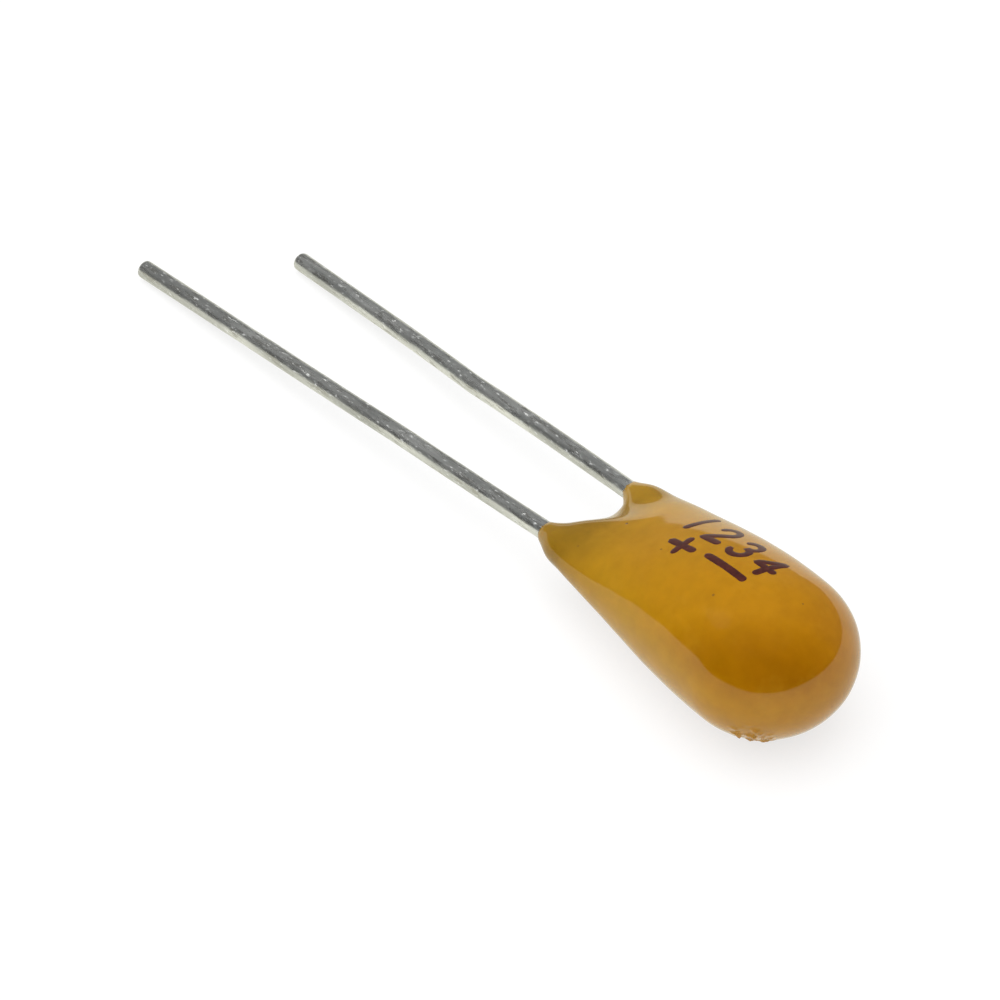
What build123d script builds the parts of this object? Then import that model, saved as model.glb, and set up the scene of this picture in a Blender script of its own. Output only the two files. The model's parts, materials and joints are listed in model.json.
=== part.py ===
from build123d import *
from math import asin, atan, cos, hypot, pi, radians, sin, sqrt
import os

# A radial tantalum bead capacitor, dipped in epoxy, in millimetres.
#
# Every piece is modelled in the frame of the case: X runs along its axis, 0 at the widest station, plus
# toward the closed tip and minus toward the leads. Y runs across the two leads and Z through the flat of the
# neck. At the end each piece is laid down as it comes to rest: on the bulb and on the ends of both leads.

# ---- Epoxy case: bulb and neck ----
bulb_width = 4.52
bulb_thickness = 4.02
tip_length = 2.29  # widest station to the closed tip
tip_squareness = 2.05  # power of the tip's rounding, where 2 is an ellipse
neck_width = 3.79
neck_thickness = 0.82
taper_length = 7.49  # widest station to where the taper would level out
neck_squareness = 2.9  # power of the neck's superellipse section, where 2 is an ellipse

# ---- Epoxy case: the end where the leads come out ----
shoulder_station = 5.50  # widest station to where the shoulders start to round over
shoulder_length = 1.44  # from there to where the rounding would close
shoulder_squareness = 2.6
crown_station = 6.58  # widest station to the flat tops of the horns, mostly under the collars
saddle_radius = 0.85
saddle_station = 6.77  # widest station to the centre of the saddle's arc
crown_rounding = 0.14  # along the saddle's rims and round the horn tops
positive_collar_climb = 0.27  # how far a collar climbs its lead past the horn
negative_collar_climb = 0.14
collar_depth = 0.40  # length of a collar's cone, whose lower part is inside its horn
collar_root_radius = 0.44
collar_lip_radius = 0.30

# ---- Leads ----
lead_diameter = 0.50
lead_pitch = 2.54
lead_offset = 0.06  # case axis to the middle of the pair of leads, toward the positive lead
lead_straight = 0.05  # collar to where each lead turns aside
positive_free_length = 15.48  # from there to the cut end
negative_free_length = 13.29
positive_splay = 6.53  # degrees in plan, toward -Y
negative_splay = 3.35  # degrees in plan, toward -Y
cut_end_bevel = 0.05

# ---- Rest pose ----
body_tilt = 5.0  # degrees, lead end lower

# ---- Anode: slug, riser wire and washer ----
slug_offset = 0.23  # case axis to slug axis, toward the positive lead
pellet_diameter = 1.92
pellet_length = 3.20
pellet_top = 2.20  # widest station to the top of the pellet
pellet_edge = 0.12  # chamfer round both ends
riser_diameter = 0.30
riser_embedment = 2.00
riser_free_length = 2.40
washer_diameter = 1.20
washer_thickness = 0.25

# ---- Cathode: the layers round the slug, from the inside out ----
electrolyte_thickness = 0.08
graphite_thickness = 0.04
graphite_setback = 0.25  # pellet top to the top edge of the graphite
silver_thickness = 0.05
silver_setback = 0.40
solder_thickness = 0.12
solder_setback = 0.60
solder_over_lead = 0.09
solder_edge = 0.25
negative_lead_overlap = 2.80  # length of the negative lead along the slug

# ---- Weld between the riser wire and the positive lead ----
weld_flat = 0.03  # depth pressed into each wire
weld_length = 1.25
lead_shift_length = 0.80  # length over which the positive lead shifts sideways to the riser
lead_shift_radius = 0.60

lead_radius = lead_diameter / 2
riser_radius = riser_diameter / 2
pellet_radius = pellet_diameter / 2
slug_y = -slug_offset
positive_y = -lead_offset - lead_pitch / 2
negative_y = -lead_offset + lead_pitch / 2
positive_collar_end = -crown_station - positive_collar_climb
negative_collar_end = -crown_station - negative_collar_climb
riser_end = -pellet_top - riser_free_length
weld_plane = slug_y - riser_radius + weld_flat
welded_lead_y = weld_plane + weld_flat - lead_radius


# ---- Epoxy case ----


def section_size(x):
    """Half width, half thickness and superellipse power of the case at a station x."""
    if x > 0:
        cap = (1 - (x / tip_length) ** tip_squareness) ** (1 / tip_squareness)
        return bulb_width / 2 * cap, bulb_thickness / 2 * cap, 2
    part = -x / taper_length
    bulge = (1 + cos(pi * part)) / 2
    half_width = (neck_width + (bulb_width - neck_width) * bulge) / 2
    half_thickness = (neck_thickness + (bulb_thickness - neck_thickness) * bulge) / 2
    over = min(1, max(0, -x - shoulder_station) / shoulder_length)
    shoulder = (1 - over**shoulder_squareness) ** (1 / shoulder_squareness)
    return half_width * shoulder, half_thickness * shoulder, 2 + (neck_squareness - 2) * part


def section_ring(x):
    """Smooth closed curve round the case at a station x, parametrised alike at every station."""
    half_width, half_thickness, power = section_size(x)
    ring_points = 16
    points = []
    for index in range(ring_points):
        angle = pi / 2 + 2 * pi * index / ring_points
        reach = (abs(cos(angle)) ** power + abs(sin(angle)) ** power) ** (-1 / power)
        points.append((x, half_width * reach * cos(angle), half_thickness * reach * sin(angle)))
    steps = [index / ring_points for index in range(ring_points + 1)]
    return Wire([Edge.make_spline(points, periodic=True, parameters=steps)])


def loft_between(start, end, spans):
    """Case wall between two stations, through evenly spaced sections."""
    stations = [start + (end - start) * index / spans for index in range(spans + 1)]
    return Solid.make_loft([section_ring(x) for x in stations])


def case_body():
    """Tip, taper and shoulders, each a smooth loft that takes over from the one before."""
    angles_from_tip = (16, 36, 57, 78, 90)
    tip_stations = [tip_length * cos(radians(angle)) for angle in angles_from_tip]
    tip = Solid.make_loft([Vertex(tip_length, 0, 0), *[section_ring(x) for x in tip_stations]])
    taper = loft_between(0, -shoulder_station, 4)
    shoulders = loft_between(-shoulder_station, -crown_station, 4)
    return tip + taper + shoulders


def saddled_body():
    """The saddle leaves a horn round each lead; every edge of the crown is rounded."""
    body = case_body() - Pos(-saddle_station) * Cylinder(saddle_radius, bulb_thickness)
    saddle = body.faces().filter_by(GeomType.CYLINDER)[0]
    horn_tops = body.faces().filter_by(GeomType.PLANE)
    crown_edges = {*saddle.edges(), *horn_tops.edges()}
    return fillet(crown_edges, crown_rounding)


def collar(end, y):
    """Resin that climbs one lead: a cone that narrows to a thin lip, rooted inside its horn."""
    cone = Cone(collar_root_radius, collar_lip_radius, collar_depth)
    return Plane((end + collar_depth / 2, y, 0), z_dir=(-1, 0, 0)) * cone


# ---- Shared shapes ----


def along_x(section, start, end, y):
    """A prism whose section lies across X, centred on y, between two stations."""
    return extrude(Plane((start, y, 0), x_dir=(0, 1, 0), z_dir=(1, 0, 0)) * section, end - start)


def rims(shape):
    """Circular edges of a shape, from the lead end to the tip end."""
    return shape.edges().filter_by(GeomType.CIRCLE).sort_by(Axis.X)


def slug_body(growth, top, top_edge=0):
    """The pellet's cylinder grown outward, from a station at its top to its grown bottom."""
    bottom = pellet_length - pellet_top + growth
    shape = along_x(Circle(pellet_radius + growth), top, bottom, slug_y)
    shape = chamfer(rims(shape)[-1], pellet_edge + growth * (2 - sqrt(2)))
    return chamfer(rims(shape)[0], top_edge) if top_edge else shape


# ---- Anode ----


def riser_shape():
    return along_x(Circle(riser_radius), riser_end, riser_embedment - pellet_top, slug_y)


def washer_shape():
    ring = Circle(washer_diameter / 2) - Circle(riser_radius)
    return along_x(ring, -pellet_top - washer_thickness, -pellet_top, slug_y)


def weld_side(side):
    """Block over the weld on one side of its plane: 1 toward the riser wire, -1 toward the positive lead."""
    section = Rectangle(lead_diameter, lead_diameter)
    return along_x(section, shift_start - lead_shift_length, weld_end, weld_plane + side * lead_radius)


# ---- Leads ----


def floor_point(turn_point, free_length, splay):
    """Where a lead that runs straight from its turn ends when its cut end touches the floor."""
    start = (resting * Pos(turn_point)).position
    reach = free_length - cut_end_bevel
    drop = lead_radius - cut_end_bevel
    droop = asin((start.Z - cut_end_bevel) / hypot(reach, drop)) - atan(drop / reach)
    run = Vector(-cos(droop) * cos(radians(splay)), -cos(droop) * sin(radians(splay)), -sin(droop))
    return (resting.inverse() * Pos(start + run * free_length)).position


def wire_along(inside, outside):
    """Round wire along its run inside the case and its straight run outside, with a beveled cut end."""
    path = Wire([*inside.edges(), outside])
    wire = sweep(Plane(path @ 0, z_dir=path % 0) * Circle(lead_radius), path, transition=Transition.RIGHT)
    return chamfer(rims(wire)[0], cut_end_bevel)


def positive_lead_shape():
    """From the weld beside the riser wire, shifted sideways to its pitch, through its horn to the floor."""
    turn_point = Vector(positive_collar_end - lead_straight, positive_y, 0)
    points = [
        (weld_end, welded_lead_y, 0),
        (shift_start, welded_lead_y, 0),
        (shift_start - lead_shift_length, positive_y, 0),
        turn_point,
    ]
    inside = FilletPolyline(*points, radius=lead_shift_radius)
    outside = Line(turn_point, floor_point(turn_point, positive_free_length, positive_splay))
    return wire_along(inside, outside) - weld_side(1)


def negative_lead_shape():
    """Straight from the side of the slug, through its horn to the floor."""
    turn_point = Vector(negative_collar_end - lead_straight, negative_y, 0)
    inside = Line((negative_lead_overlap - pellet_top, negative_y, 0), turn_point)
    outside = Line(turn_point, floor_point(turn_point, negative_free_length, negative_splay))
    return wire_along(inside, outside)


# ---- Cathode ----


def solder_body():
    """Solder round the silvered slug and the negative lead, drop-shaped in section."""
    growth = silver_growth + solder_thickness
    slug_round = Pos(slug_y) * Circle(pellet_radius + growth)
    lead_round = Pos(negative_y) * Circle(lead_radius + solder_over_lead)
    section = make_hull([*slug_round.edges(), *lead_round.edges()])
    bottom = pellet_length - pellet_top + growth
    shape = along_x(section, solder_setback - pellet_top, bottom, 0)
    return chamfer(shape.faces().sort_by(Axis.X)[-1].edges(), solder_edge)


# ---- Places that follow from the sizes ----
weld_end = riser_end + weld_length
shift_start = riser_end - riser_radius
graphite_growth = electrolyte_thickness + graphite_thickness
silver_growth = graphite_growth + silver_thickness

# ---- Rest pose: the case lies on its bulb, with its lead end lower ----
tilt = radians(body_tilt)
stations = [-taper_length * index / 400 for index in range(401)]
rest_height = max(section_size(x)[1] * cos(tilt) - x * sin(tilt) for x in stations)
resting = Location((0, 0, rest_height), (0, -body_tilt, 0))

# ---- Pieces, from the slug outward ----
riser = riser_shape()
washer = washer_shape()
pellet = slug_body(0, -pellet_top, pellet_edge)
electrolyte_edge = pellet_edge + electrolyte_thickness * (2 - sqrt(2))
electrolyte = slug_body(electrolyte_thickness, -pellet_top - electrolyte_thickness, electrolyte_edge)
graphite = slug_body(graphite_growth, graphite_setback - pellet_top)
silver = slug_body(silver_growth, silver_setback - pellet_top)
solder = solder_body()
positive_lead = positive_lead_shape()
negative_lead = negative_lead_shape()
case = saddled_body() + collar(positive_collar_end, positive_y) + collar(negative_collar_end, negative_y)

pieces = {
    "anode_pellet": pellet - riser,
    "riser_wire": riser - weld_side(-1),
    "insulating_washer": washer,
    "manganese_dioxide_layer": electrolyte - pellet - washer - riser,
    "graphite_layer": graphite - electrolyte,
    "silver_layer": silver - graphite,
    "cathode_solder": solder - silver - negative_lead,
    "positive_lead": positive_lead,
    "negative_lead": negative_lead,
}
core = [riser, washer, electrolyte, graphite, silver, solder, positive_lead, negative_lead]
for inner in core:
    case -= inner
pieces["epoxy_coating"] = case

# ---- The origin is under the middle of the whole part, on the floor ----
laid = {name: resting * piece for name, piece in pieces.items()}
middle = Compound(list(laid.values())).bounding_box().center()
os.makedirs("parts", exist_ok=True)
for name, piece in laid.items():
    export_step(Pos(-middle.X, -middle.Y) * piece, f"parts/{name}.step")
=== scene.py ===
import json
import math

import bpy
import numpy as np
from mathutils import Matrix, Vector, noise
from mathutils.bvhtree import BVHTree


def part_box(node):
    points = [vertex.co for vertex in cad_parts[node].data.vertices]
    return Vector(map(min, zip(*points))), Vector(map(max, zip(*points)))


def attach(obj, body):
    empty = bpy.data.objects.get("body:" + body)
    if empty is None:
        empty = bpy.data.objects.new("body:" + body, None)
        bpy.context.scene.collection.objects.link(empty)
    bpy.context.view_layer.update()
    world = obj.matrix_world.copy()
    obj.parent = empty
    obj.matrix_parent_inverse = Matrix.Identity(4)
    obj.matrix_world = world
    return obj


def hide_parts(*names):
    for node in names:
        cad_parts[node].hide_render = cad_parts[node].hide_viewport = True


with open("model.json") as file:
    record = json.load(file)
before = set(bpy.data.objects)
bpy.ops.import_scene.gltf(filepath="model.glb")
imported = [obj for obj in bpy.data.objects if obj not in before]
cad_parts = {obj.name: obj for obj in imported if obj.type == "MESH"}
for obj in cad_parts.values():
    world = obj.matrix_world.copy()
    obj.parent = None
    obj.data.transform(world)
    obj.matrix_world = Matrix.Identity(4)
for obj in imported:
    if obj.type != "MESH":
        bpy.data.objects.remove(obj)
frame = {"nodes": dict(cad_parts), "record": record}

MM = 0.001

# ---- Sizes of the dipped case, in millimetres, in the case's own frame ----
# X runs along the case, 0 at the widest station and plus toward the closed tip. Y runs across the leads.
# Where a size has two values, -1 is the positive lead's side and 1 is the negative lead's side.
BULB_HALF_WIDTH = 2.26
BULB_HALF_THICKNESS = 2.01
TIP_LENGTH = 2.29
TIP_POWER = 2.05
NECK_HALF_WIDTH = 1.865
NECK_HALF_THICKNESS = 0.459
TAPER_LENGTH = 7.49
NECK_POWER = 2.48
SHOULDER_STATION = 5.635
SHOULDER_POWER = 1.876
SADDLE_RISE = 0.498
HORN_RISE = {-1: 1.695, 1: 1.323}
HORN_SPREAD = 1.772
CROWN_EDGE = {-1: 0.78, 1: 1.80}
CROWN_CHANGE = 0.8
CROWN_LIMIT = 0.9999
TILT = math.radians(5.0)
LEAD_RADIUS = 0.25
LEAD_Y = {-1: -1.33, 1: 1.21}
COLLAR_END = {-1: 6.828, 1: 6.715}
COLLAR_LENGTH = 0.359
COLLAR_ROOT_RADIUS = 0.42
COLLAR_LIP_RADIUS = 0.27
COLLAR_WIDENS = 0.3
COLLAR_DEPTH = 0.6
COLLAR_BLEND = 0.06
DOME_CENTRE = np.array([-5.80, 1.13, 0])
DOME_HALF_SIZES = np.array([0.54, 0.62, 0.45])
DOME_BLEND = 0.14
CUT_BEVEL = 0.05


# ---- Frame ----
# The tilted case's own centre stands this many millimetres over the middle of its box.
CASE_LIFT = 0.0085

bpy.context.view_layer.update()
case_low, case_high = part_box("epoxy_coating")
centre = Vector((
    case_high.x - TIP_LENGTH * MM,
    (case_low.y + case_high.y) / 2,
    (case_low.z + case_high.z) / 2 + CASE_LIFT * MM,
))
case_to_row = Matrix.Translation(centre) @ Matrix.Rotation(-TILT, 4, "Y") @ Matrix.Scale(MM, 4)
mounts = {mount["name"]: mount for mount in frame["record"]["mounts"]}


def to_row(points):
    """Case-frame millimetres to row-frame metres, for an array of points."""
    matrix = np.array(case_to_row)
    return points @ matrix[:3, :3].T + matrix[:3, 3]


# ---- Mesh helper ----


def piece_from(name, points, faces, material):
    """A smooth mesh piece in the row frame that rides on the part's one body."""
    mesh = bpy.data.meshes.new(name)
    mesh.from_pydata([tuple(point) for point in points], [], faces)
    mesh.validate()
    mesh.shade_smooth()
    obj = bpy.data.objects.new(name, mesh)
    bpy.context.scene.collection.objects.link(obj)
    obj.data.materials.append(material)
    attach(obj, "root")
    return obj


# ---- The dipped skin as a smooth field ----


def case_field(points):
    """Below 0 inside the dipped case without its collars, above 0 outside."""
    x, y, z = points.T
    part = np.clip(-x / TAPER_LENGTH, 0, 1)
    bulge = (1 + np.cos(np.pi * part)) / 2
    half_width = NECK_HALF_WIDTH + (BULB_HALF_WIDTH - NECK_HALF_WIDTH) * bulge
    half_thickness = NECK_HALF_THICKNESS + (BULB_HALF_THICKNESS - NECK_HALF_THICKNESS) * bulge
    power = 2 + (NECK_POWER - 2) * part
    spread = np.minimum(1, np.abs(y) / HORN_SPREAD)
    horn_rise = np.where(y < 0, HORN_RISE[-1], HORN_RISE[1])
    rise = SADDLE_RISE + (horn_rise - SADDLE_RISE) * (1 - np.cos(np.pi * spread)) / 2
    aside = np.minimum(1, np.abs(y) / half_width)
    front = SHOULDER_STATION + rise * (1 - aside**SHOULDER_POWER) ** (1 / SHOULDER_POWER)
    across = np.clip((y / CROWN_CHANGE + 1) / 2, 0, 1)
    edge = CROWN_EDGE[-1] + (CROWN_EDGE[1] - CROWN_EDGE[-1]) * across**2 * (3 - 2 * across)
    past_edge = np.clip((-x - front) / edge + 1, 0, CROWN_LIMIT)
    crown_height = z / np.sqrt(1 - past_edge**2)
    wide = np.abs(y / half_width) ** power
    high = np.abs(crown_height / half_thickness) ** power
    section = (wide + high) ** (1 / power)
    past_tip = np.clip(x / TIP_LENGTH, 0, None)
    whole = (section**TIP_POWER + past_tip**TIP_POWER) ** (1 / TIP_POWER)
    return np.maximum(whole, 1 + (-x - front)) - 1


SLOPE_STEP = 1e-4


def case_distance(points):
    """Nearly the distance in millimetres to the case, from the field and its slope."""
    value = case_field(points)
    slope = [(case_field(points + SLOPE_STEP * axis) - value) / SLOPE_STEP for axis in np.eye(3)]
    return value / np.linalg.norm(slope, axis=0)


def collar_distance(points, side):
    """Distance to the cone of resin that climbs the lead on one side, and that is rooted in the case."""
    x, y, z = points.T
    root = COLLAR_END[side] - COLLAR_LENGTH
    along = np.clip(-x - root, -COLLAR_WIDENS, None)
    radius = COLLAR_ROOT_RADIUS + (COLLAR_LIP_RADIUS - COLLAR_ROOT_RADIUS) * along / COLLAR_LENGTH
    across = np.hypot(y - LEAD_Y[side], z) - radius
    return np.maximum(np.maximum(across, along - COLLAR_LENGTH), x + root - COLLAR_DEPTH)


def soft_union(first, second, blend):
    """Union of two distances with a fillet of about the blend's size where they meet."""
    mix = np.clip(0.5 + 0.5 * (second - first) / blend, 0, 1)
    return second * (1 - mix) + first * mix - blend * mix * (1 - mix)


def dome_distance(points):
    """Distance to the lump of resin that covers the far lead's root."""
    reach = np.linalg.norm((points - DOME_CENTRE) / DOME_HALF_SIZES, axis=1)
    return (reach - 1) * DOME_HALF_SIZES.min()


def skin_distance(points):
    """Distance to the whole skin: the case, both collars and the lump."""
    distance = case_distance(points)
    for side in (-1, 1):
        distance = soft_union(distance, collar_distance(points, side), COLLAR_BLEND)
    return soft_union(distance, dome_distance(points), DOME_BLEND)


def cube_sphere(count):
    """Unit directions and quads of a cube whose faces hold count by count cells.

    The cells are spaced by angle, so that they lie about evenly on the sphere.
    """
    ids = {}
    directions = []
    faces = []

    def corner(key):
        if key not in ids:
            ids[key] = len(directions)
            directions.append([math.tan((value / count - 0.5) * math.pi / 2) for value in key])
        return ids[key]

    for axis in range(3):
        first, second = (axis + 1) % 3, (axis + 2) % 3
        for end in (0, count):
            for i in range(count):
                for j in range(count):
                    quad = []
                    for di, dj in ((0, 0), (1, 0), (1, 1), (0, 1)):
                        key = [0, 0, 0]
                        key[axis], key[first], key[second] = end, i + di, j + dj
                        quad.append(corner(tuple(key)))
                    faces.append(quad if end else quad[::-1])
    directions = np.array(directions)
    return directions / np.linalg.norm(directions, axis=1)[:, None], faces


def cast_outward(seed, directions, field, reach, steps, halvings):
    """Where rays from the seed leave a field for the last time, by steps inward and then by halving."""
    outer = np.full(len(directions), reach)
    open_rays = np.ones(len(directions), bool)
    step = reach / steps
    for _ in range(steps):
        trial = outer[open_rays] - step
        inside = field(seed + directions[open_rays] * trial[:, None]) < 0
        index = np.flatnonzero(open_rays)
        outer[index[~inside]] -= step
        open_rays[index[inside]] = False
        if not open_rays.any():
            break
    inner = outer - step
    for _ in range(halvings):
        middle = (inner + outer) / 2
        inside = field(seed + directions * middle[:, None]) < 0
        inner = np.where(inside, middle, inner)
        outer = np.where(inside, outer, middle)
    return seed + directions * outer[:, None]


# The rays start at the seed, and reach past the skin on every side.
SKIN_SEED = np.array([-2.2, 0, 0])
SKIN_CELLS = 124
SKIN_REACH = 5.6
SKIN_STEPS = 56
SKIN_HALVINGS = 16

# Waves are in features a millimetre, heights in millimetres.
BROAD_WAVES = 0.45
BROAD_HEIGHT = 0.018
BROAD_PLACE = Vector((3.1, 7.7, 1.3))
FINE_WAVES = 1.7
FINE_HEIGHT = 0.0035
FINE_PLACE = Vector((9.2, 0.4, 5.8))


def ripple(point):
    """How far the hardened dip stands off its ideal form at a point, in millimetres."""
    broad = noise.noise(point * BROAD_WAVES + BROAD_PLACE)
    fine = noise.noise(point * FINE_WAVES + FINE_PLACE)
    return BROAD_HEIGHT * broad + FINE_HEIGHT * fine


SCAR = Vector((1.32, -1.45, -0.92))
SCAR_REACH = 0.70
SCAR_HEIGHT = 0.12
SCAR_STEEPNESS = 2.2
FLAKE_WAVES = 5.5
CRUMB_WAVES = 12
CRUMB_SHARE = 0.6
CRUMB_PLACE = Vector((4, 4, 4))


def scar(point):
    """Height of the ragged flakes of resin low on the bulb, in millimetres."""
    near = max(0, 1 - (point - SCAR).length / SCAR_REACH)
    flakes = noise.noise(point * FLAKE_WAVES)
    ragged = flakes + CRUMB_SHARE * noise.noise(point * CRUMB_WAVES + CRUMB_PLACE)
    return SCAR_HEIGHT * min(1, near * SCAR_STEEPNESS) * max(0, ragged)


# The crown is softened from SOFT_FROM, fully from SOFT_FULL, and up to about SOFT_LAST, along X.
SOFT_FROM = -4.4
SOFT_FULL = -5.0
SOFT_LAST = -6.62
SOFT_LIP_BAND = 0.2
SOFT_SHARE = 0.5
SOFT_ROUNDS = 14


def soften_crown(points, faces):
    """Round off the creases where horns, saddle, lump and collars meet, as surface tension does."""
    faces = np.array(faces)
    first = np.concatenate([faces[:, side] for side in range(4)])
    second = np.concatenate([faces[:, (side + 1) % 4] for side in range(4)])
    count = np.bincount(first, minlength=len(points))[:, None]
    x = points[:, 0]
    into = np.clip((SOFT_FROM - x) / (SOFT_FROM - SOFT_FULL), 0, 1)
    before_lip = np.clip((x - SOFT_LAST + SOFT_LIP_BAND / 2) / SOFT_LIP_BAND, 0, 1)
    share = (SOFT_SHARE * into * before_lip)[:, None]
    for _ in range(SOFT_ROUNDS):
        sums = np.stack([np.bincount(first, points[second, axis], len(points)) for axis in range(3)], axis=1)
        points = points + share * (sums / count - points)
    return points


def coat_skin():
    """The whole skin: bulb, neck, horns, saddle and collars in one closed mesh."""
    directions, faces = cube_sphere(SKIN_CELLS)
    points = cast_outward(SKIN_SEED, directions, skin_distance, SKIN_REACH, SKIN_STEPS, SKIN_HALVINGS)
    points = soften_crown(points, faces)
    lifted = []
    for point, direction in zip(points, directions):
        place = Vector(point)
        lifted.append(point + direction * (ripple(place) + scar(place)))
    return np.array(lifted), faces


# ---- Node-material helpers ----
# Sockets of Blender's Mix node when it mixes colours.
MIX_FACTOR = 0
MIX_FIRST = 6
MIX_SECOND = 7
MIX_RESULT = 2


class Shader:
    """A material's node tree with short calls for the nodes that the finishes share."""

    def __init__(self, name):
        self.material = bpy.data.materials.new(name)
        self.material.use_nodes = True
        self.tree = self.material.node_tree
        self.surface = self.tree.nodes["Principled BSDF"]
        coordinates = self.tree.nodes.new("ShaderNodeTexCoord")
        self.place = coordinates.outputs["Object"]

    def add(self, kind, **inputs):
        node = self.tree.nodes.new("ShaderNode" + kind)
        for name, value in inputs.items():
            self.put(node.inputs[name.replace("_", " ")], value)
        return node

    def put(self, socket, value):
        if isinstance(value, bpy.types.NodeSocket):
            self.tree.links.new(value, socket)
        else:
            socket.default_value = value

    def set(self, **inputs):
        for name, value in inputs.items():
            self.put(self.surface.inputs[name.replace("_", " ")], value)

    def stretched(self, scale, turn=(0, 0, 0), offset=(0, 0, 0)):
        """Object coordinates, turned and scaled to so many features a metre along each axis."""
        turned = self.add("Mapping", Vector=self.place, Rotation=turn)
        scaled = self.add("Mapping", Vector=turned.outputs["Vector"], Scale=scale, Location=offset)
        return scaled.outputs["Vector"]

    def noise(self, vector, scale=1, detail=2, roughness=0.5):
        node = self.add("TexNoise", Vector=vector, Scale=scale, Detail=detail, Roughness=roughness)
        return node.outputs["Fac"]

    def spots(self, vector, scale):
        return self.add("TexVoronoi", Vector=vector, Scale=scale).outputs["Distance"]

    def ramp(self, factor, *stops):
        node = self.add("ValToRGB", Fac=factor)
        points = node.color_ramp.elements
        while len(points) < len(stops):
            points.new(0.5)
        for point, (position, colour) in zip(points, stops):
            point.position = position
            point.color = (*colour, 1) if hasattr(colour, "__len__") else (colour, colour, colour, 1)
        return node.outputs["Color"]

    def mix(self, factor, first, second, blend="MIX"):
        node = self.tree.nodes.new("ShaderNodeMix")
        node.data_type = "RGBA"
        node.blend_type = blend
        self.put(node.inputs[MIX_FACTOR], factor)
        for index, colour in ((MIX_FIRST, first), (MIX_SECOND, second)):
            linked = isinstance(colour, bpy.types.NodeSocket)
            self.put(node.inputs[index], colour if linked else (*colour, 1))
        return node.outputs[MIX_RESULT]

    def tint(self, first, second):
        """One colour times another."""
        return self.mix(1.0, first, second, "MULTIPLY")

    def math(self, operation, first, second, clamp=False):
        node = self.tree.nodes.new("ShaderNodeMath")
        node.operation = operation
        node.use_clamp = clamp
        self.put(node.inputs[0], first)
        self.put(node.inputs[1], second)
        return node.outputs[0]

    def rising(self, value, start, slope, clamp=False):
        """A value measured from a start, times a slope."""
        return self.math("MULTIPLY", self.math("SUBTRACT", value, start), slope, clamp)

    def bump(self, height, distance, strength, below=None):
        node = self.add("Bump", Height=height, Distance=distance, Strength=strength)
        if below is not None:
            self.put(node.inputs["Normal"], below)
        return node.outputs["Normal"]

    def axis(self, vector, name):
        return self.add("SeparateXYZ", Vector=vector).outputs[name]


# ---- The epoxy's finish ----
# Lengths are in metres, colours are linear, and a shade is a colour that multiplies the one below it.
WHITE = (1.0, 1.0, 1.0)

# Along the case, from 0 at the collars to 1 at the closed tip.
EPOXY_START = 0.0068
EPOXY_LENGTH = 0.0090
EPOXY_COLOURS = (
    (0.0, (0.29, 0.145, 0.009)),
    (0.12, (0.245, 0.120, 0.006)),
    (0.26, (0.385, 0.182, 0.005)),
    (0.45, (0.408, 0.193, 0.002)),
    (0.8, (0.42, 0.183, 0.001)),
    (1.0, (0.39, 0.155, 0.001)),
)
CLOUD_SHIFT = 0.25

# The upper side fades in over a short height. Toward the tip and the positive lead's side it is darker:
# painted shade on the side that faces the camera.
UPPER_START = 0.0003
UPPER_SLOPE = 1500
SHADE_ALONG = 0.6
SHADE_ACROSS = -0.87
SHADE_SLOPE = 500
PAINTED_FRONT_SHADE = (0.76, 0.70, 0.5)
UPPER_SHADE = (0.98, 0.975, 0.9)
UNDER_SHADE = (0.97, 1.04, 0.9)

# The horn round the negative lead is brighter: a painted pale sheen.
FAR_START = 0.0006
FAR_SLOPE = 700
NECK_SLOPE = 2.8
FAR_HORN_PAINTED_SHEEN = (1.28, 1.30, 1.4)

PALE_CLOUD = (0.50, 0.245, 0.016)
SPECK_COLOUR = (0.12, 0.06, 0.01)
SPECK_DEPTH = 0.00003
ORANGE_PEEL = 0.0000016
EPOXY_ROUGHNESS = 0.05
EPOXY_ROUGHNESS_SPREAD = 0.05

# Case-frame X, Y and radius in millimetres. They are spots of colour on the upper side, without depth.
PINHOLE_COLOUR = (0.22, 0.11, 0.01)
PINHOLES = (
    (-5.93, -1.78, 0.035),
    (-5.38, -1.45, 0.03),
    (-4.48, -1.97, 0.025),
    (-3.29, -0.56, 0.03),
    (-0.85, -0.95, 0.035),
    (-6.35, -1.32, 0.025),
    (0.75, 0.45, 0.025),
)


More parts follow.
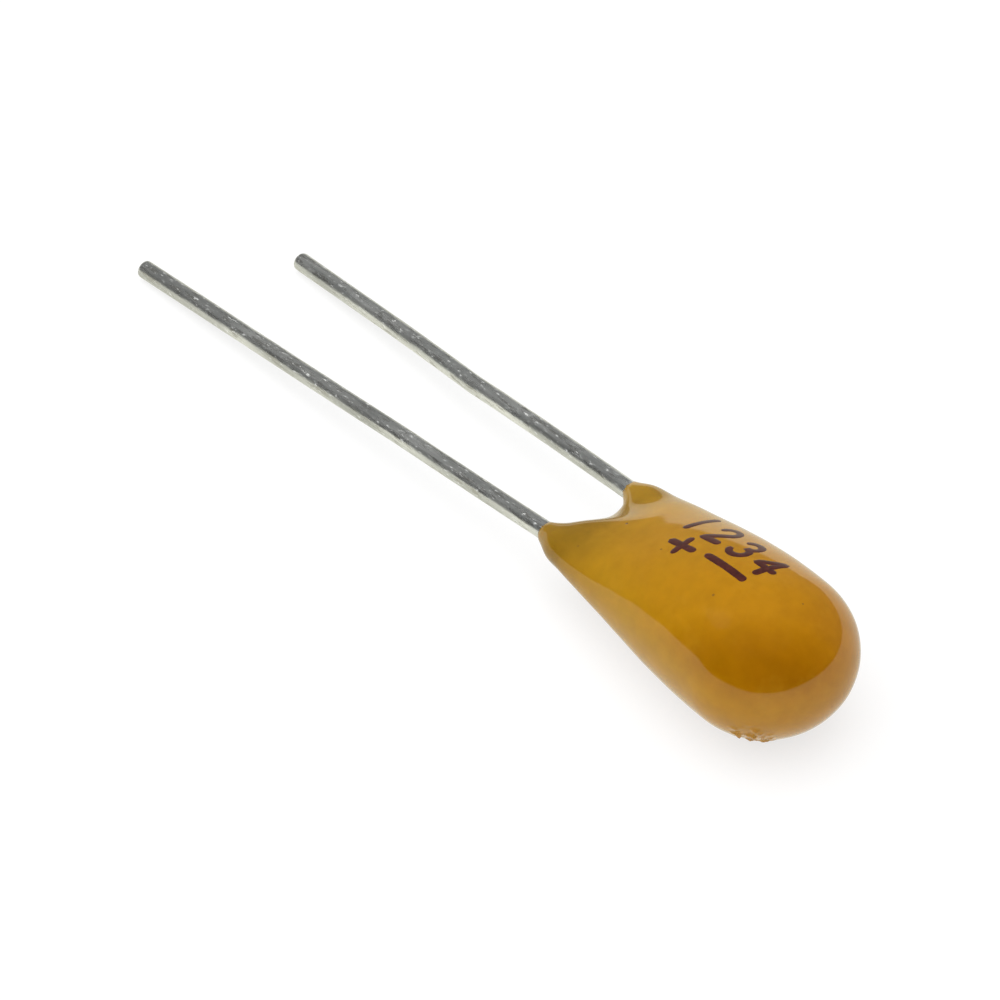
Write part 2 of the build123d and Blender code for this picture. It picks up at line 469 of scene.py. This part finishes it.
def epoxy_body(shader, place):
    """The resin's colour by place: brown at the horns, mustard on the body, painted shade toward the tip on
    the camera's side, and a painted pale sheen on the far horn.
    """
    from_start = shader.math("SUBTRACT", shader.axis(place, "X"), centre.x - EPOXY_START)
    along = shader.math("DIVIDE", from_start, EPOXY_LENGTH)
    clouds = shader.noise(place, scale=420, detail=3, roughness=0.55)
    shifted = shader.math("ADD", along, shader.rising(clouds, 0.5, CLOUD_SHIFT), clamp=True)
    body = shader.ramp(shifted, *EPOXY_COLOURS)
    toward_tip = shader.rising(shader.axis(place, "X"), centre.x, SHADE_ALONG)
    toward_edge = shader.rising(shader.axis(place, "Y"), centre.y, SHADE_ACROSS)
    slant = shader.math("MULTIPLY", shader.math("ADD", toward_tip, toward_edge), SHADE_SLOPE)
    # Painted shade: the upper side toward the tip and the positive lead's side is darkened.
    front_shade = shader.ramp(slant, (0.38, WHITE), (0.82, PAINTED_FRONT_SHADE))
    upper = shader.rising(shader.axis(place, "Z"), centre.z + UPPER_START, UPPER_SLOPE, clamp=True)
    body = shader.mix(upper, body, shader.tint(body, front_shade))
    far = shader.rising(shader.axis(place, "Y"), centre.y - FAR_START, FAR_SLOPE, clamp=True)
    neck = shader.math("SUBTRACT", 1.0, shader.math("MULTIPLY", along, NECK_SLOPE), clamp=True)
    # Painted pale sheen on the crown round the negative lead, fading out toward the tip.
    painted_sheen = shader.ramp(shader.math("MULTIPLY", far, neck), (0.0, WHITE), (0.8, FAR_HORN_PAINTED_SHEEN))
    body = shader.tint(body, painted_sheen)
    by_height = shader.ramp(upper, (0.0, UNDER_SHADE), (1.0, UPPER_SHADE))
    return shader.tint(body, by_height)


def pinholes(shader, place, colour):
    """A colour with the pinholes' dark spots over it, on the case's upper half."""
    upper_half = shader.math("GREATER_THAN", shader.axis(place, "Z"), centre.z)
    flat = shader.add("Mapping", Vector=place, Scale=(1, 1, 0)).outputs["Vector"]
    for hole_x, hole_y, hole_radius in PINHOLES:
        spot = case_to_row @ Vector((hole_x, hole_y, 0))
        apart = shader.tree.nodes.new("ShaderNodeVectorMath")
        apart.operation = "DISTANCE"
        shader.put(apart.inputs[0], flat)
        shader.put(apart.inputs[1], (spot.x, spot.y, 0))
        near = shader.math("LESS_THAN", apart.outputs["Value"], hole_radius * MM)
        colour = shader.mix(shader.math("MULTIPLY", near, upper_half), colour, PINHOLE_COLOUR)
    return colour


def amber_epoxy():
    """Glossy dipped epoxy with a slight mottle, paler clouds, rare dark specks and a few pinholes."""
    shader = Shader("amber_epoxy_finish")
    place = shader.stretched((1, 1, 1))
    body = epoxy_body(shader, place)
    mottle = shader.ramp(shader.noise(place, scale=2600, detail=3, roughness=0.6), (0.3, 0.93), (0.7, 1.05))
    body = shader.tint(body, mottle)
    cloudy = shader.ramp(shader.noise(place, scale=700, detail=4, roughness=0.65), (0.52, 0.0), (0.68, 0.22))
    body = shader.mix(cloudy, body, PALE_CLOUD)
    off_spots = shader.ramp(shader.spots(place, scale=1500), (0.035, 0.0), (0.075, 1.0))
    spotless = shader.ramp(shader.noise(place, scale=900, detail=1), (0.62, 1.0), (0.66, 0.0))
    clear = shader.math("MAXIMUM", off_spots, spotless)
    speckled = shader.mix(clear, SPECK_COLOUR, body)
    coloured = pinholes(shader, place, speckled)
    fine = shader.noise(place, scale=5200, detail=2, roughness=0.5)
    pits = shader.bump(clear, distance=SPECK_DEPTH, strength=0.6)
    skin = shader.bump(fine, distance=ORANGE_PEEL, strength=0.5, below=pits)
    spread = shader.math("MULTIPLY", fine, EPOXY_ROUGHNESS_SPREAD)
    shader.set(
        Base_Color=coloured,
        Roughness=shader.math("ADD", spread, EPOXY_ROUGHNESS),
        IOR=1.50,
        Subsurface_Weight=0.10,
        Subsurface_Scale=0.0003,
        Subsurface_Radius=(1.0, 0.35, 0.02),
        Normal=skin,
    )
    return shader.material


# ---- The other finishes ----
# Features a metre along and across the wire.
STREAK_SCALE = (180, 5200, 5200)
GLINT_SCALE = (1700, 9000, 9000)
PATCH_SCALE = (420, 900, 900)
PAINTED_GLINT_SCALE = (5200, 16000, 16000)
DARK_STREAK = (0.56, 0.58, 0.56)
PALE_STREAK = (0.86, 0.87, 0.84)
PIT_COLOUR = (0.46, 0.46, 0.43)
PAINTED_GLINT_COLOUR = (0.93, 0.94, 0.92)
WIRE_METALLIC = 0.88
PAINTED_GLINT_DULLS = 0.55
WIRE_ROUGHNESS = 0.12
WIRE_ROUGHNESS_SPREAD = 0.34
STREAK_DEPTH = 0.000012
GLINT_DEPTH = 0.00001


def tinned_wire(name, turn):
    """Dull hot-tinned wire: grey with long streaks, painted pale glint specks and shallow pits along its
    run.
    """
    shader = Shader(name)
    streaks = shader.noise(shader.stretched(STREAK_SCALE, turn), detail=3, roughness=0.6)
    glints = shader.noise(shader.stretched(GLINT_SCALE, turn), detail=3, roughness=0.65)
    patches = shader.noise(shader.stretched(PATCH_SCALE, turn), detail=2, roughness=0.5)
    streaked = shader.ramp(streaks, (0.3, DARK_STREAK), (0.7, PALE_STREAK))
    patched = shader.ramp(patches, (0.35, 0.78), (0.7, 1.08))
    tone = shader.tint(streaked, patched)
    off_pits = shader.ramp(glints, (0.36, 0.0), (0.46, 1.0))
    wear_and_glints = shader.mix(off_pits, PIT_COLOUR, tone)
    spread = shader.math("MULTIPLY", glints, WIRE_ROUGHNESS_SPREAD)
    rough = shader.math("ADD", spread, WIRE_ROUGHNESS)
    grooves = shader.bump(streaks, distance=STREAK_DEPTH, strength=0.6)
    # Painted glints: pale, less metallic specks stand in for the lamp's sparkle on the tin.
    glint_noise = shader.noise(shader.stretched(PAINTED_GLINT_SCALE, turn, (5, 2, 8)), detail=2, roughness=0.6)
    painted_glints = shader.ramp(glint_noise, (0.60, 0.0), (0.72, 0.8))
    wear_and_glints = shader.mix(painted_glints, wear_and_glints, PAINTED_GLINT_COLOUR)
    glint_dulled = shader.math("MULTIPLY", painted_glints, PAINTED_GLINT_DULLS)
    shader.set(
        Base_Color=wear_and_glints,
        Metallic=shader.math("SUBTRACT", WIRE_METALLIC, glint_dulled),
        Roughness=rough,
        Normal=shader.bump(glints, distance=GLINT_DEPTH, strength=0.7, below=grooves),
    )
    return shader.material


INK_DARK = (0.040, 0.005, 0.004)
INK_LIGHT = (0.095, 0.016, 0.008)
INK_RELIEF = 0.000004


def maroon_ink():
    """Stamped ink, a little uneven where it dried."""
    shader = Shader("maroon_ink_finish")
    place = shader.stretched((1, 1, 1))
    uneven = shader.noise(place, scale=9000, detail=3, roughness=0.6)
    cover = shader.ramp(uneven, (0.3, INK_DARK), (0.75, INK_LIGHT))
    grit = shader.noise(place, scale=12000, detail=2)
    shader.set(
        Base_Color=cover,
        Roughness=0.35,
        Normal=shader.bump(grit, distance=INK_RELIEF, strength=0.5),
    )
    return shader.material


GRAIN_ROUGHNESS_SPREAD = 0.2
INNER_FINISHES = {
    "anode_pellet": {
        "name": "sintered_tantalum",
        "dark": (0.07, 0.07, 0.08),
        "light": (0.16, 0.16, 0.17),
        "grain": 9000,
        "roughness": 0.75,
        "metallic": 0.6,
    },
    "riser_wire": {
        "name": "tantalum_wire",
        "dark": (0.26, 0.27, 0.30),
        "light": (0.40, 0.41, 0.45),
        "grain": 6000,
        "roughness": 0.35,
        "metallic": 1.0,
    },
    "insulating_washer": {
        "name": "white_fluoropolymer",
        "dark": (0.74, 0.74, 0.71),
        "light": (0.86, 0.86, 0.83),
        "grain": 4000,
        "roughness": 0.5,
    },
    "manganese_dioxide_layer": {
        "name": "manganese_dioxide",
        "dark": (0.012, 0.010, 0.008),
        "light": (0.045, 0.038, 0.03),
        "grain": 12000,
        "roughness": 0.85,
    },
    "graphite_layer": {
        "name": "graphite",
        "dark": (0.02, 0.02, 0.022),
        "light": (0.055, 0.055, 0.06),
        "grain": 8000,
        "roughness": 0.5,
        "metallic": 0.2,
    },
    "silver_layer": {
        "name": "silver_paint",
        "dark": (0.52, 0.52, 0.50),
        "light": (0.72, 0.72, 0.70),
        "grain": 9000,
        "roughness": 0.4,
        "metallic": 0.9,
    },
    "cathode_solder": {
        "name": "solder",
        "dark": (0.40, 0.41, 0.42),
        "light": (0.60, 0.61, 0.62),
        "grain": 3000,
        "roughness": 0.3,
        "metallic": 1.0,
        "relief": 0.00002,
    },
}


def grained(name, dark, light, grain, roughness, metallic=0.0, relief=0.00001):
    """A finish with a grain of so many features a metre, for the pieces inside the case."""
    shader = Shader(name)
    place = shader.stretched((1, 1, 1))
    speckle = shader.noise(place, scale=grain, detail=4, roughness=0.65)
    colour = shader.ramp(speckle, (0.3, dark), (0.7, light))
    spread = shader.math("MULTIPLY", speckle, GRAIN_ROUGHNESS_SPREAD)
    shader.set(
        Base_Color=colour,
        Metallic=metallic,
        Roughness=shader.math("ADD", spread, roughness - GRAIN_ROUGHNESS_SPREAD / 2),
        Normal=shader.bump(speckle, distance=relief, strength=0.6),
    )
    return shader.material


def finish_inner_nodes():
    """The pieces inside the case keep their CAD shape and get their real surfaces."""
    for node, finish in INNER_FINISHES.items():
        mesh = frame["nodes"][node].data
        mesh.materials.clear()
        mesh.materials.append(grained(**finish))
        mesh.shade_smooth()


# ---- Leads ----
LEAD_RINGS = 420
LEAD_SEGMENTS = 40
CUT_ROUNDING = 0.07

# Each kink has its place, as a share of the free run, and how many millimetres it pushes the wire sideways.
# It spreads over KINK_REACH of the run to each side, and fades in over the first 1 / KINK_ONSET of the run.
POSITIVE_KINKS = [(0.35, 0.02)]
NEGATIVE_KINKS = [(0.45, -0.06)]
KINK_REACH = 0.3
KINK_ONSET = 8

# The wire's unevenness: features a millimetre along and around it, and heights in millimetres.
UNEVEN_ALONG = 1.1
UNEVEN_AROUND = 1.5
UNEVEN_HEIGHT = 0.004
UNEVEN_FINER = 4
UNEVEN_FINE_HEIGHT = 0.0025
UNEVEN_SINK = 0.002


def lead_line(mount, side):
    """A lead's root inside its horn, its bend at the collar and its cut end, in metres."""
    axis = Vector(mount["axis"])
    middle = Vector(mount["pos_m"])
    tip = middle + axis * (mount["dims"]["length_mm"] / 2 + CUT_BEVEL) * MM
    root = case_to_row @ Vector((-SHOULDER_STATION, LEAD_Y[side], 0))
    bend = case_to_row @ Vector((-COLLAR_END[side], LEAD_Y[side], 0))
    return root, bend, tip


def tube_faces(rings, segments):
    """Quads between the rings of a tube, and a flat face on each end."""
    faces = []
    for ring in range(rings):
        for segment in range(segments):
            following = (segment + 1) % segments
            first, second = ring * segments, (ring + 1) * segments
            faces.append((first + segment, first + following, second + following, second + segment))
    faces.append(tuple(range(segments))[::-1])
    faces.append(tuple(rings * segments + segment for segment in range(segments)))
    return faces


def lead_piece(mount_name, node, side, kinks):
    """Round tinned wire with slight unevenness, soft kinks and a blunt cut end."""
    root, bend, tip = lead_line(mounts[mount_name], side)
    run = tip - bend
    length = run.length
    forward = run.normalized()
    across = forward.cross(Vector((0, 0, 1))).normalized()
    up = across.cross(forward)
    points = []
    inside = (root - bend).length
    total = inside + length
    for ring in range(LEAD_RINGS + 1):
        distance = total * ring / LEAD_RINGS
        if distance < inside:
            middle = root.lerp(bend, distance / inside)
            share = 0
        else:
            share = (distance - inside) / length
            middle = bend + forward * (distance - inside)
        for place, sideways in kinks:
            nearness = max(0, 1 - abs(share - place) / KINK_REACH) ** 2
            middle = middle + across * (sideways * MM * nearness * min(1, share * KINK_ONSET))
        left = (total - distance) / MM
        radius = LEAD_RADIUS
        if left < CUT_ROUNDING:
            radius -= CUT_ROUNDING - math.sqrt(max(0, CUT_ROUNDING**2 - (CUT_ROUNDING - left) ** 2))
        for segment in range(LEAD_SEGMENTS):
            angle = 2 * math.pi * segment / LEAD_SEGMENTS
            outward = across * math.cos(angle) + up * math.sin(angle)
            # Segment 0 is sampled at 0 and not at its cosine, which leaves a faint line along the wire.
            around = math.cos(angle) * UNEVEN_AROUND if segment else 0.0
            sample = Vector((distance / MM * UNEVEN_ALONG, around, math.sin(angle) * UNEVEN_AROUND))
            fine = UNEVEN_FINE_HEIGHT * noise.noise(sample * UNEVEN_FINER)
            uneven = UNEVEN_HEIGHT * noise.noise(sample) + fine
            points.append(middle + outward * (radius + uneven - UNEVEN_SINK) * MM)
    heading = math.atan2(forward.y, forward.x)
    finish = tinned_wire(node + "_finish", (0, 0, -heading))
    lead = piece_from(node + "_wire", points, tube_faces(LEAD_RINGS, LEAD_SEGMENTS), finish)
    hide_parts(node)


# ---- Printed marks, in case-frame millimetres ----
INK_HALF_WIDTH = 0.115
INK_HEIGHT = 0.008
INK_SINK = 0.002
INK_SPACING = 0.02
INK_LANES = (-1, -0.75, -0.4, 0, 0.4, 0.75, 1)
INK_CAP_ANGLES = (80, 60, 40, 20)
INK_WOBBLE = 0.16
INK_WOBBLE_WAVES = 3.0
INK_WOBBLE_SLICE = 2.5
ABOVE_CASE = 4.0
PRINT_SLANT = 0.10
DIGIT_SCALE = 1.12
FIRST_DIGIT_X = -3.42
FIRST_DIGIT_Y = 0.90
DIGIT_ADVANCE = 0.95
DIGIT_DROP = 0.09
PLUS_X = -2.82
PLUS_Y = -0.17
BAR = [(-1.90, -0.12), (-0.55, -0.19)]


def arc(centre_x, centre_y, radius_x, radius_y, start, end, steps=18):
    """Points on part of an ellipse, with angles in degrees."""
    angles = [math.radians(start + (end - start) * step / steps) for step in range(steps + 1)]
    return [(centre_x + radius_x * math.cos(a), centre_y + radius_y * math.sin(a)) for a in angles]


def digit_strokes(digit):
    """Pen strokes of a digit in a box about 0.5 wide and 0.76 tall, about its centre."""
    if digit == "1":
        return [[(-0.02, -0.36), (0.02, 0.36)]]
    if digit == "2":
        return [arc(0, 0.17, 0.21, 0.20, 170, -30) + [(-0.22, -0.36), (0.24, -0.36)]]
    if digit == "3":
        return [arc(0, 0.18, 0.20, 0.18, 150, -80) + arc(0, -0.17, 0.23, 0.20, 80, -150)]
    return [[(0.10, -0.37), (0.10, 0.37), (-0.24, -0.10), (0.25, -0.10)]]


def on_skin(flat, height):
    """The row-frame point that stands a height over the skin, above a place given by case-frame X and Y."""
    above = case_to_row @ Vector((*flat, ABOVE_CASE))
    down = (case_to_row @ Vector((*flat, 0.0)) - above).normalized()
    place, normal, _, _ = skin_tree.ray_cast(above, down)
    return place + normal * height * MM


def cap_rows(end, outward, side, angles):
    """Rows that round off one end of a stroke, each a middle and the way to its edge."""
    return [(end + outward * INK_HALF_WIDTH * math.sin(a), side * math.cos(a)) for a in angles]


def stroke_piece(name, stroke, material):
    """One inked stroke laid on the case as a thin rounded ridge, from points in case-frame millimetres."""
    fine = []
    for first, second in zip(stroke, stroke[1:]):
        steps = max(1, int(math.dist(first, second) / INK_SPACING))
        fine += [np.array(first) + (np.array(second) - first) * step / steps for step in range(steps)]
    fine.append(np.array(stroke[-1]))
    line = np.array(fine)
    heading = np.gradient(line, axis=0)
    heading /= np.linalg.norm(heading, axis=1)[:, None]
    side = np.stack([-heading[:, 1], heading[:, 0]], axis=1)
    caps = [math.radians(angle) for angle in INK_CAP_ANGLES]
    rows = cap_rows(line[0], -heading[0], side[0], caps)
    rows += list(zip(line, side))
    rows += cap_rows(line[-1], heading[-1], side[-1], caps[::-1])
    points = []
    for middle, reach in rows:
        slice_point = Vector((*(middle * INK_WOBBLE_WAVES), INK_WOBBLE_SLICE))
        wobble = 1 + INK_WOBBLE * noise.noise(slice_point)
        for lane in INK_LANES:
            flat = middle + reach * lane * INK_HALF_WIDTH * wobble
            points.append(on_skin(flat, INK_HEIGHT * (1 - lane**2) ** 0.5 - INK_SINK))
    width = len(INK_LANES)
    faces = []
    for row in range(len(rows) - 1):
        for lane in range(width - 1):
            corner = row * width + lane
            faces.append((corner, corner + width, corner + width + 1, corner + 1))
    piece_from(name, points, faces, material)


def printed_marks():
    """A row of plain digits over a plus sign, on the positive lead's side, and a bar."""
    ink = maroon_ink()
    for index, digit in enumerate("1234"):
        shift_x = FIRST_DIGIT_X + DIGIT_ADVANCE * index
        shift_y = FIRST_DIGIT_Y - DIGIT_DROP * index
        for count, stroke in enumerate(digit_strokes(digit)):
            placed = [
                (shift_x + DIGIT_SCALE * (px + PRINT_SLANT * py), shift_y + DIGIT_SCALE * py)
                for px, py in stroke
            ]
            stroke_piece(f"ink_digit_{index + 1}_{count + 1}", placed, ink)
    along = [(PLUS_X - 0.40, PLUS_Y), (PLUS_X + 0.38, PLUS_Y - 0.02)]
    across = [(PLUS_X + 0.02, PLUS_Y - 0.27), (PLUS_X - 0.05, PLUS_Y + 0.27)]
    stroke_piece("ink_plus_along", along, ink)
    stroke_piece("ink_plus_across", across, ink)
    stroke_piece("ink_bar", BAR, ink)


# ---- Build the pieces ----
finish_inner_nodes()
skin_points, skin_faces = coat_skin()
skin = piece_from("dipped_skin", to_row(skin_points), skin_faces, amber_epoxy())
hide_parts("epoxy_coating")
skin_tree = BVHTree.FromPolygons([tuple(p) for p in to_row(skin_points)], skin_faces)
lead_piece("positive_lead_pin", "positive_lead", -1, POSITIVE_KINKS)
lead_piece("negative_lead_pin", "negative_lead", 1, NEGATIVE_KINKS)
printed_marks()


# ---- Stage, light and camera ----
# The floor reaches this many metres each way. Glows and the room are strengths, where 1 is white.
FLOOR_REACH = 3.0
FLOOR_PAPER = (0.95, 0.95, 0.95)
FLOOR_GLOW = 0.72
FLOOR_MIRRORED = 0.88
# Painted light: in reflections the floor is tinted warm, for the amber light that the case throws on it.
FLOOR_PAINTED_WARM_TINT = (1.0, 0.985, 0.86)

# Mirror reflections see the sum of two ramps: one by height over the horizon, where straight up is 1, and
# one by side, from 0 facing away from DIM_SIDE to 1 facing it. Other rays see the plain ROOM_FILL.
ROOM_HEIGHTS = ((0.0, 0.85), (0.035, 0.0))
ROOM_SIDES = ((0.0, 0.20), (0.36, 0.15), (0.5, 0.06), (0.75, 0.01))
ROOM_FILL = 0.56
DIM_SIDE = math.radians(-42)

# Degrees, metres and watts.
OVERHEAD = {"azimuth": -125, "elevation": 78, "distance": 0.45, "size": 0.7, "power": 2.65}
WINDOW = {"azimuth": -146, "elevation": 44, "distance": 0.5, "size": 0.12, "power": 0.006}

# Place and target are millimetres from the case's centre, lens and sensor are millimetres, and the near
# and far limits are metres. The camera's height was chosen, since the outline alone didn't settle it.
CAMERA_PLACE = Vector((51.736, -46.776, 72.024))
CAMERA_TARGET = Vector((-5.750, -3.534, 2.559))
CAMERA_LENS = 151.46
CAMERA_SENSOR = 36
CAMERA_NEAR = 0.005
CAMERA_FAR = 20


def stage_floor():
    """A wide pale floor that keeps the part's soft shadow.

    It looks white to the camera, and less bright in reflections, where its slight warm tint is painted light
    for the amber light that the case throws on the floor.
    """
    mesh = bpy.data.meshes.new("floor")
    corners = [(x * FLOOR_REACH, y * FLOOR_REACH, 0) for x, y in ((-1, -1), (1, -1), (1, 1), (-1, 1))]
    mesh.from_pydata(corners, [], [(0, 1, 2, 3)])
    floor = bpy.data.objects.new("floor", mesh)
    bpy.context.scene.collection.objects.link(floor)
    shader = Shader("floor_finish")
    path = shader.add("LightPath")
    seen = path.outputs["Is Camera Ray"]
    mirrored = path.outputs["Is Glossy Ray"]
    paper = shader.mix(seen, FLOOR_PAPER, (1 - FLOOR_GLOW,) * 3)
    glow = shader.math("MULTIPLY", seen, FLOOR_GLOW)
    shader.set(
        Base_Color=shader.mix(mirrored, paper, (0.0, 0.0, 0.0)),
        Roughness=0.9,
        Specular_IOR_Level=0.0,
        Emission_Color=shader.mix(mirrored, WHITE, FLOOR_PAINTED_WARM_TINT),
        Emission_Strength=shader.math("ADD", glow, shader.math("MULTIPLY", mirrored, FLOOR_MIRRORED)),
    )
    mesh.materials.append(shader.material)


def area_lamp(name, aim, azimuth, elevation, distance, size, power):
    """A soft square lamp that looks at a point from a direction given in degrees."""
    light = bpy.data.lights.new(name, "AREA")
    light.shape = "SQUARE"
    light.size = size
    light.energy = power
    lamp = bpy.data.objects.new(name, light)
    bpy.context.scene.collection.objects.link(lamp)
    turn = math.radians(azimuth)
    lift = math.radians(elevation)
    away = Vector((math.cos(lift) * math.cos(turn), math.cos(lift) * math.sin(turn), math.sin(lift)))
    lamp.location = aim + away * distance
    lamp.rotation_euler = away.to_track_quat("Z", "Y").to_euler()
    return lamp


def studio():
    """A plain world and a soft lamp overhead light the part, with a weak, small window lamp.

    The camera sees white round the part. Mirror reflections see a dim room instead, darkest where DIM_SIDE
    points, which is the camera's side, and bright at the horizon. The overhead lamp isn't mirrored.
    """
    world = bpy.data.worlds.new("studio")
    bpy.context.scene.world = world
    world.use_nodes = True
    tree = world.node_tree
    tree.nodes.clear()
    new = tree.nodes.new
    link = tree.links.new

    def grey_ramp(stops):
        node = new("ShaderNodeValToRGB")
        points = node.color_ramp.elements
        while len(points) < len(stops):
            points.new(0.5)
        for point, (position, value) in zip(points, stops):
            point.position = position
            point.color = (value, value, value, 1)
        return node

    def plain(strength):
        node = new("ShaderNodeBackground")
        node.inputs["Color"].default_value = (1, 1, 1, 1)
        node.inputs["Strength"].default_value = strength
        return node

    def choice(factor, first, second):
        node = new("ShaderNodeMixShader")
        link(factor, node.inputs[0])
        link(first.outputs[0], node.inputs[1])
        link(second.outputs[0], node.inputs[2])
        return node

    path = new("ShaderNodeLightPath")
    direction = new("ShaderNodeTexCoord")
    split = new("ShaderNodeSeparateXYZ")
    link(direction.outputs["Generated"], split.inputs[0])
    low = grey_ramp(ROOM_HEIGHTS)
    link(split.outputs["Z"], low.inputs[0])
    toward = new("ShaderNodeVectorMath")
    toward.operation = "DOT_PRODUCT"
    link(direction.outputs["Generated"], toward.inputs[0])
    toward.inputs[1].default_value = (math.cos(DIM_SIDE) / 2, math.sin(DIM_SIDE) / 2, 0)
    lifted = new("ShaderNodeMath")
    link(toward.outputs["Value"], lifted.inputs[0])
    lifted.inputs[1].default_value = 0.5
    side = grey_ramp(ROOM_SIDES)
    link(lifted.outputs[0], side.inputs[0])
    total = new("ShaderNodeMath")
    link(low.outputs["Color"], total.inputs[0])
    link(side.outputs["Color"], total.inputs[1])
    room = plain(1.0)
    link(total.outputs[0], room.inputs["Strength"])
    lit = choice(path.outputs["Is Glossy Ray"], plain(ROOM_FILL), room)
    choose = choice(path.outputs["Is Camera Ray"], lit, plain(1.0))
    output = new("ShaderNodeOutputWorld")
    link(choose.outputs[0], output.inputs["Surface"])
    overhead = area_lamp("overhead", centre, **OVERHEAD)
    overhead.visible_glossy = False
    area_lamp("window", centre, **WINDOW)


def camera():
    """A long lens from where the photo was taken, as fitted to the part's outline."""
    data = bpy.data.cameras.new("camera")
    view = bpy.data.objects.new("camera", data)
    bpy.context.scene.collection.objects.link(view)
    view.location = centre + CAMERA_PLACE * MM
    target = centre + CAMERA_TARGET * MM
    view.rotation_euler = (view.location - target).to_track_quat("Z", "Y").to_euler()
    data.sensor_width = CAMERA_SENSOR
    data.lens = CAMERA_LENS
    data.clip_start = CAMERA_NEAR
    data.clip_end = CAMERA_FAR
    bpy.context.scene.camera = view


stage_floor()
studio()
camera()
bpy.context.scene.view_settings.view_transform = "Standard"
